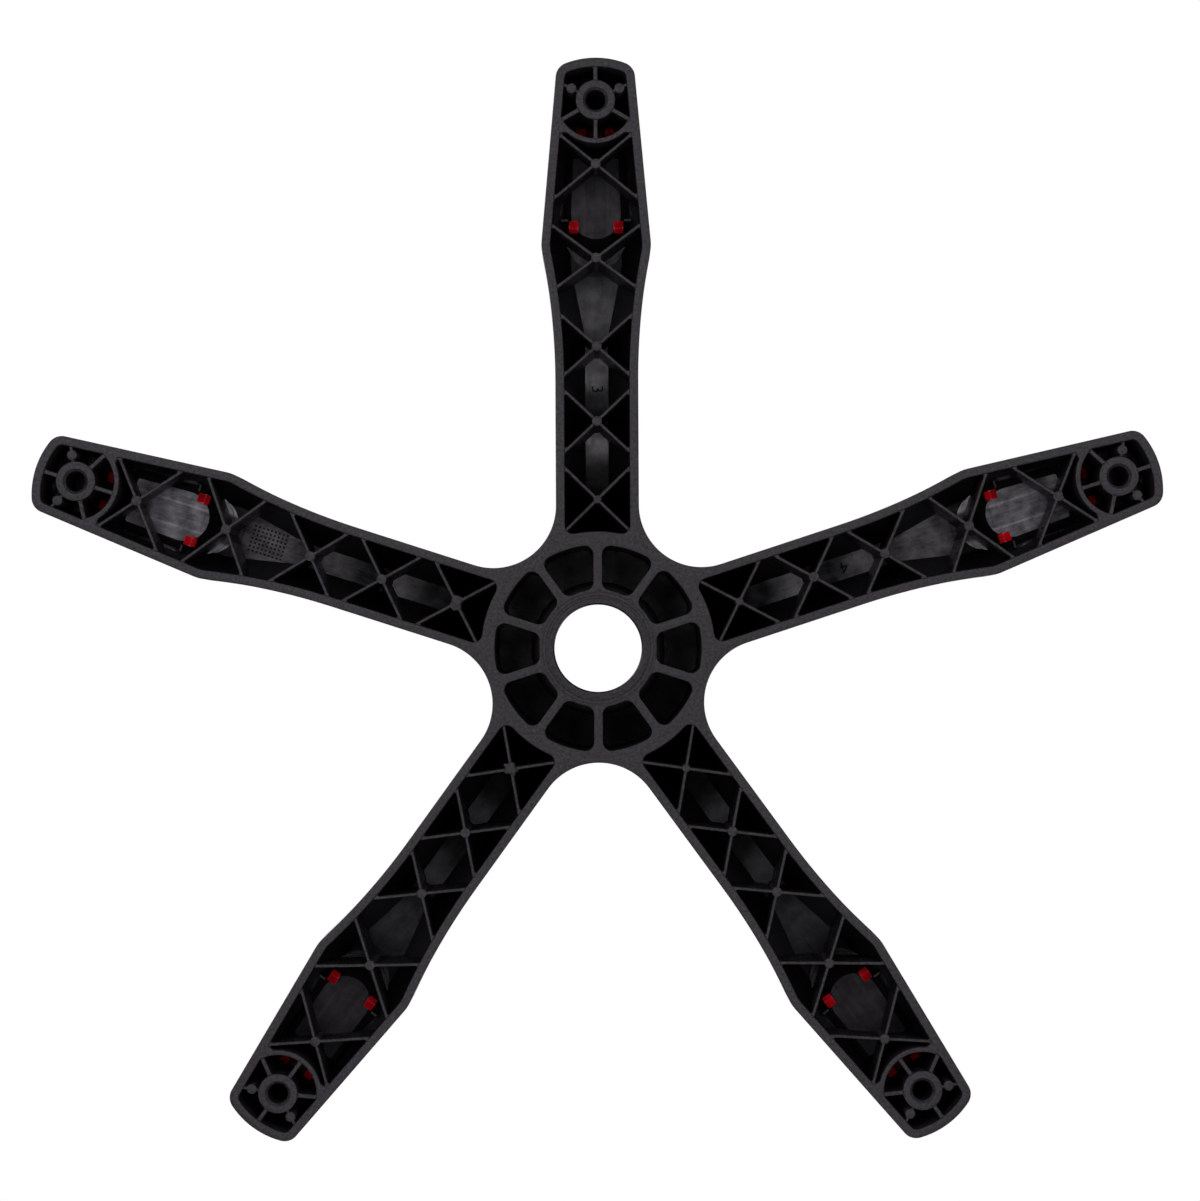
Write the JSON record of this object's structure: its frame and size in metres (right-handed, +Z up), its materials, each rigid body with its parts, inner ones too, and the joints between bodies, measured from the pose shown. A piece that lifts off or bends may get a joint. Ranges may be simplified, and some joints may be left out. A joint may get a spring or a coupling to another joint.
{
  "type": "office chair base",
  "caption": "Star base for a swivel office chair: a black ribbed moulding with a tapered hub bore, a caster socket under each foot and red snap-in trim caps on top.",
  "frame": {"origin": "on the hub's axis, in the plane of the rim that the base stands on", "axes": "+Z up along the hub's axis, out of the column's bore; +Y along the first arm, towards its tip; +X to the right of it seen from above"},
  "size_m": [0.6132, 0.5863, 0.088],
  "materials": {
    "nylon": "fine spark texture, black glass-filled nylon",
    "cap_red": "smooth gloss, dyed red plastic"
  },
  "bodies": {
    "root": {"base_moulding": "nylon", "trim_cap_1": "cap_red", "trim_cap_2": "cap_red", "trim_cap_3": "cap_red", "trim_cap_4": "cap_red", "trim_cap_5": "cap_red"}
  },
  "joints": []
}
